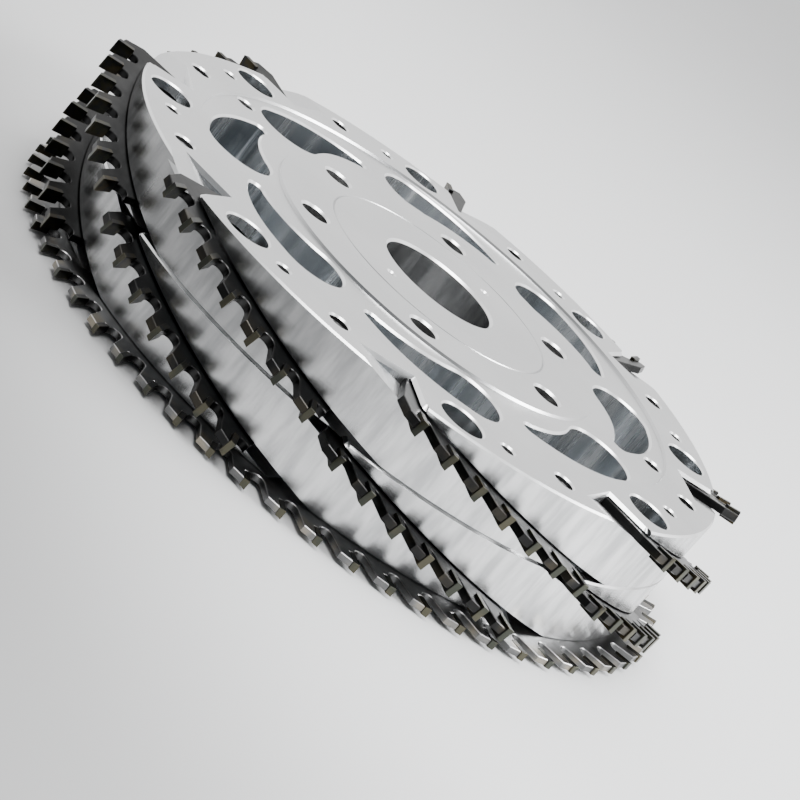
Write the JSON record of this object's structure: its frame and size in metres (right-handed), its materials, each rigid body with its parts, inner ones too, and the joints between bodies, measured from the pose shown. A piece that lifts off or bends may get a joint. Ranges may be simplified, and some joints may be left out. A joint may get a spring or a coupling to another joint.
{
  "type": "hogging saw head",
  "caption": "Compact hogging saw head: stacked metal discs with tilted toothed segments round the rim, a flat saw ring at the back and a central bore.",
  "frame": {"origin": "centre of the bore at the hub's back face", "axes": "+Z along the bore, from the saw ring towards the face with the windows; +X runs through the bolt circle's frame, 46.5 degrees before the first flange bolt hole"},
  "size_m": [0.3639, 0.3638, 0.0694],
  "materials": {
    "machined_aluminium": "machined satin",
    "polished_steel": "dark satin",
    "carbide": "ground",
    "black_steel": "blackened"
  },
  "bodies": {
    "root": {"upper_disc": "machined_aluminium", "lower_disc": "machined_aluminium", "saw_ring": "polished_steel", "upper_segment_1": "polished_steel", "upper_segment_2": "polished_steel", "upper_segment_3": "polished_steel", "upper_segment_4": "polished_steel", "upper_segment_5": "polished_steel", "upper_segment_6": "polished_steel", "upper_segment_7": "polished_steel", "upper_segment_8": "polished_steel", "lower_segment_1": "polished_steel", "lower_segment_2": "polished_steel", "lower_segment_3": "polished_steel", "lower_segment_4": "polished_steel", "lower_segment_5": "polished_steel", "lower_segment_6": "polished_steel", "lower_segment_7": "polished_steel", "lower_segment_8": "polished_steel", "ring_tips": "carbide", "upper_segment_tips": "carbide", "lower_segment_tips": "carbide", "body_screws": "black_steel", "upper_set_screws": "black_steel", "lower_set_screws": "black_steel"}
  },
  "joints": []
}
